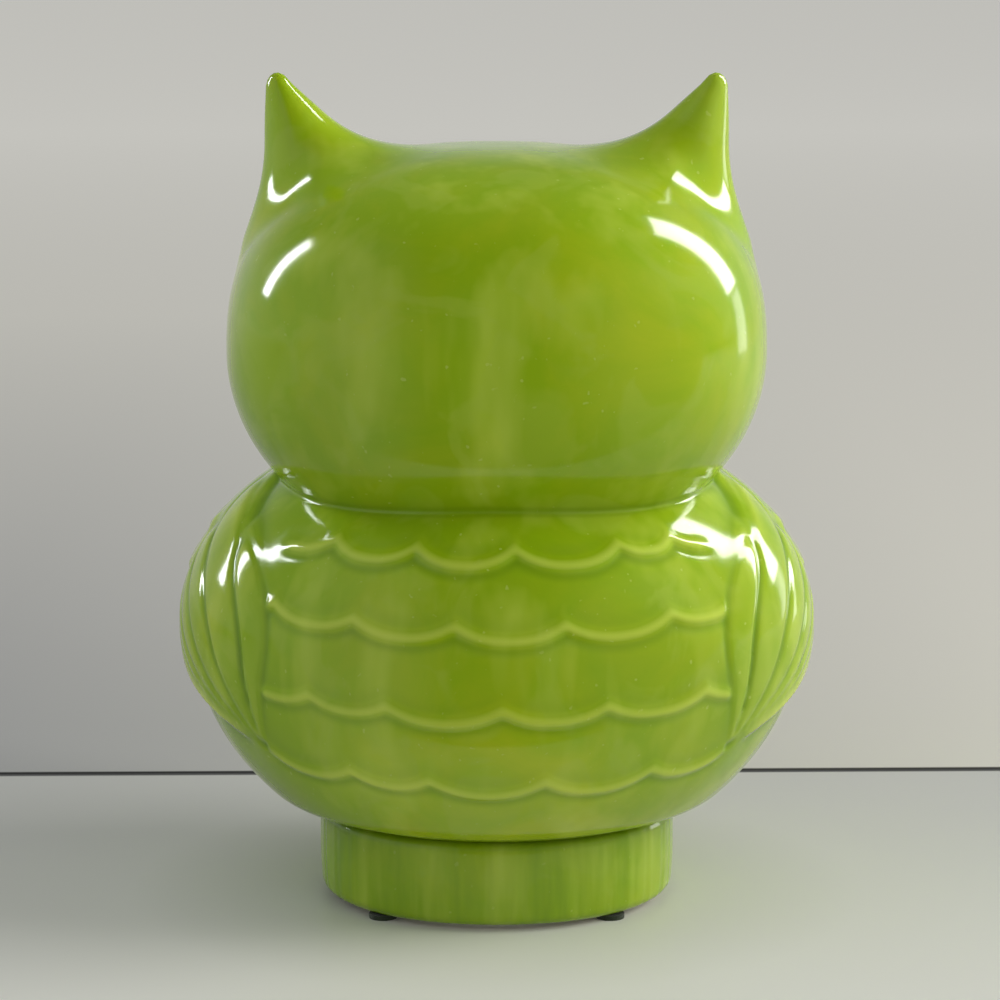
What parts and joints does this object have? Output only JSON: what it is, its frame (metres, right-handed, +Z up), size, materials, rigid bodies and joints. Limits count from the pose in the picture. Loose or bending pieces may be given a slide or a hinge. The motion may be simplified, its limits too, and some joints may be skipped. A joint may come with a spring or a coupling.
{
  "type": "owl coin bank",
  "caption": "Hollow glazed ceramic owl money box with ear tufts, scalloped back feathers, a coin slot in the crown and a turn-to-lock stopper under its round foot.",
  "frame": {"origin": "on the table, under the middle of the owl", "axes": "+Z up, the owl faces -Y and its back is +Y, +X towards its left wing as seen from behind on the left"},
  "size_m": [0.1364, 0.126, 0.1774],
  "materials": {
    "glaze": "glossy translucent chartreuse glaze, mottled, paler on ridges",
    "stopper": "moulded ivory polypropylene",
    "felt": "dark green felt"
  },
  "bodies": {
    "bank": {"owl_shell": "glaze", "felt_foot_1": "felt", "felt_foot_2": "felt", "felt_foot_3": "felt", "felt_foot_4": "felt"},
    "stopper": {"plug_body": "stopper"},
    "knob": {"plug_knob": "stopper"}
  },
  "joints": [
    {"name": "stopper_pull", "type": "slide", "parent": "bank", "child": "stopper", "axis": [0, 0, -1], "range_m": [0, 0.04]},
    {"name": "knob_turn", "type": "hinge", "parent": "stopper", "child": "knob", "pos_m": [0, 0, 0.006], "axis": [0, 0, 1], "range_deg": [0, 90]}
  ]
}
